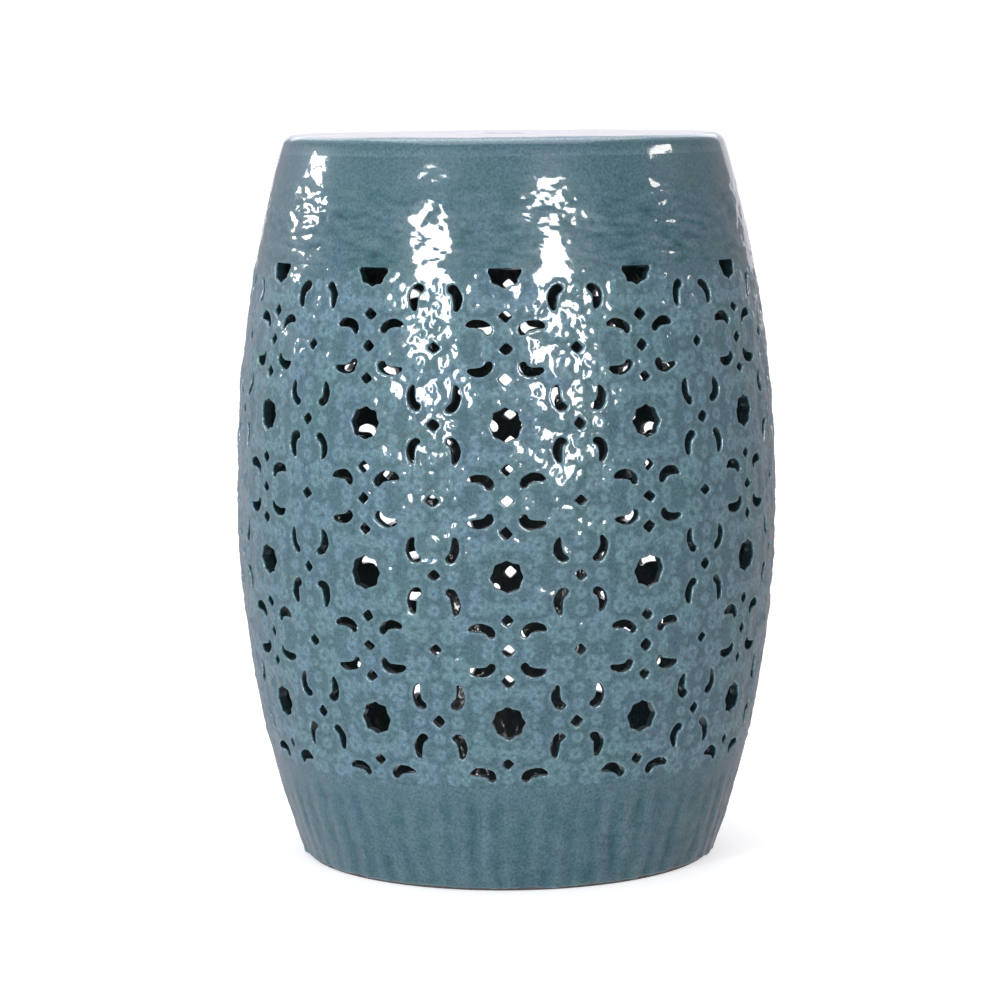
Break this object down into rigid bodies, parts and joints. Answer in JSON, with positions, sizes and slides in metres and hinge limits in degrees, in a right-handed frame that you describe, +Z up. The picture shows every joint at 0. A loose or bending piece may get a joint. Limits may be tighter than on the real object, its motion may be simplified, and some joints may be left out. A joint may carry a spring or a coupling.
{
  "type": "ceramic garden stool",
  "caption": "Barrel-shaped glazed ceramic garden stool with a pierced lattice wall, a plain shoulder, a flat seat with a lifting hole and a bare clay foot.",
  "frame": {"origin": "on the floor, in the middle of the foot ring", "axes": "+Z up along the barrel's axis; -Y is the front, where a column of octagons faces; +X to the right seen from the front"},
  "size_m": [0.3432, 0.3432, 0.457],
  "materials": {
    "glaze": "glossy blue-green glaze, thin on raised edges and pooled in the hollows",
    "bare_clay": "unglazed stoneware, wiped clean, matt"
  },
  "bodies": {
    "root": {"seat_slab": "glaze", "shoulder_band": "glaze", "lattice_wall": "glaze", "base_band": "glaze", "foot_ring": "bare_clay"}
  },
  "joints": []
}
